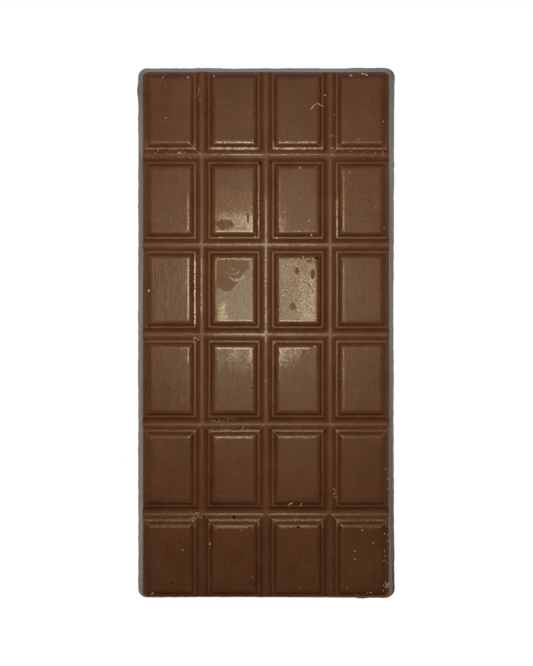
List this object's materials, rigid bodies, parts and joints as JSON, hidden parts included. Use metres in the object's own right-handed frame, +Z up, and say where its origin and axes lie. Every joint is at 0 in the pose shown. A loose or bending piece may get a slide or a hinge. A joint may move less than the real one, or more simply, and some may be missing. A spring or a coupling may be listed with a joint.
{
  "type": "chocolate bar",
  "caption": "Moulded milk chocolate bar with stepped rectangular blocks, grooves between them and a tapered outer edge, lying on its flat back.",
  "frame": {"origin": "middle of the flat back, on the surface it lies on", "axes": "+X across the bar, +Y along the bar, +Z up out of the moulded face"},
  "size_m": [0.0772, 0.16, 0.0075],
  "materials": {
    "milk_chocolate": "satin, with patches of gloss"
  },
  "bodies": {
    "root": {"chocolate_bar": "milk_chocolate"}
  },
  "joints": []
}
